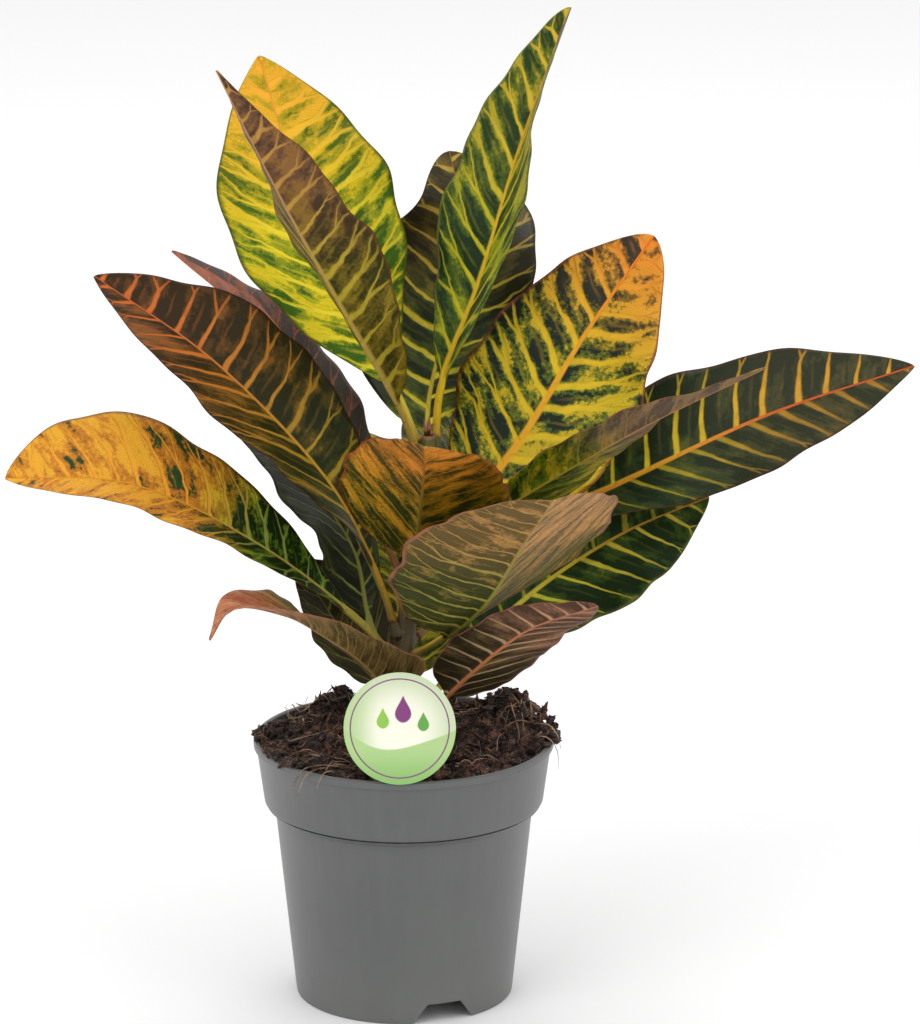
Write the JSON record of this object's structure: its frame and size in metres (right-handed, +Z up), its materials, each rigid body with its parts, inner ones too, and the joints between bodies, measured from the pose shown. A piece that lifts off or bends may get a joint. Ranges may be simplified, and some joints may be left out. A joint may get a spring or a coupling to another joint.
{
  "type": "potted croton",
  "caption": "Leafy young croton plant with broad variegated leaves on a short woody stem, standing in a round plastic nursery pot with soil and a plant label.",
  "frame": {"origin": "middle of the pot's flat underside, on the pot's axis", "axes": "+Z up along the pot's axis; -Y is the front, where the plant label is; +X is to the right seen from the front"},
  "size_m": [0.3553, 0.2059, 0.3913],
  "materials": {
    "pot": "satin grey moulded polypropylene",
    "soil": "moist peat and coir, rough",
    "stem": "young green-brown bark",
    "label": "printed plastic, satin",
    "leaf_yellow": "leathery leaf, satin, yellow with green",
    "leaf_green": "leathery leaf, satin, green with yellow veins",
    "leaf_orange": "leathery leaf, satin, orange with green",
    "leaf_brown": "leathery leaf underside, matt brown with olive veins",
    "leaf_maroon": "leathery leaf, maroon with orange veins",
    "leaf_dark": "leathery leaf, satin, near-black green with yellow veins"
  },
  "bodies": {
    "root": {"pot": "pot", "soil": "soil", "stem": "stem", "label": "label", "leaf_top_yellow": "leaf_yellow", "leaf_top_brown_back": "leaf_brown", "leaf_top_tall": "leaf_green", "leaf_top_dark": "leaf_dark", "leaf_right_orange": "leaf_orange", "leaf_right_long": "leaf_dark", "leaf_right_brown_back": "leaf_brown", "leaf_low_right_dark": "leaf_dark", "leaf_front_orange_back": "leaf_orange", "leaf_front_tan_back": "leaf_brown", "leaf_low_right_pink_back": "leaf_maroon", "leaf_low_left_curled": "leaf_brown", "leaf_left_long": "leaf_maroon", "leaf_left_thin": "leaf_maroon", "leaf_left_yellow": "leaf_yellow", "leaf_left_dark": "leaf_dark", "leaf_low_left_dark": "leaf_dark", "leaf_back_middle": "leaf_green", "leaf_back_upper_right": "leaf_green", "leaf_back_right": "leaf_dark", "leaf_back_left": "leaf_green"}
  },
  "joints": []
}
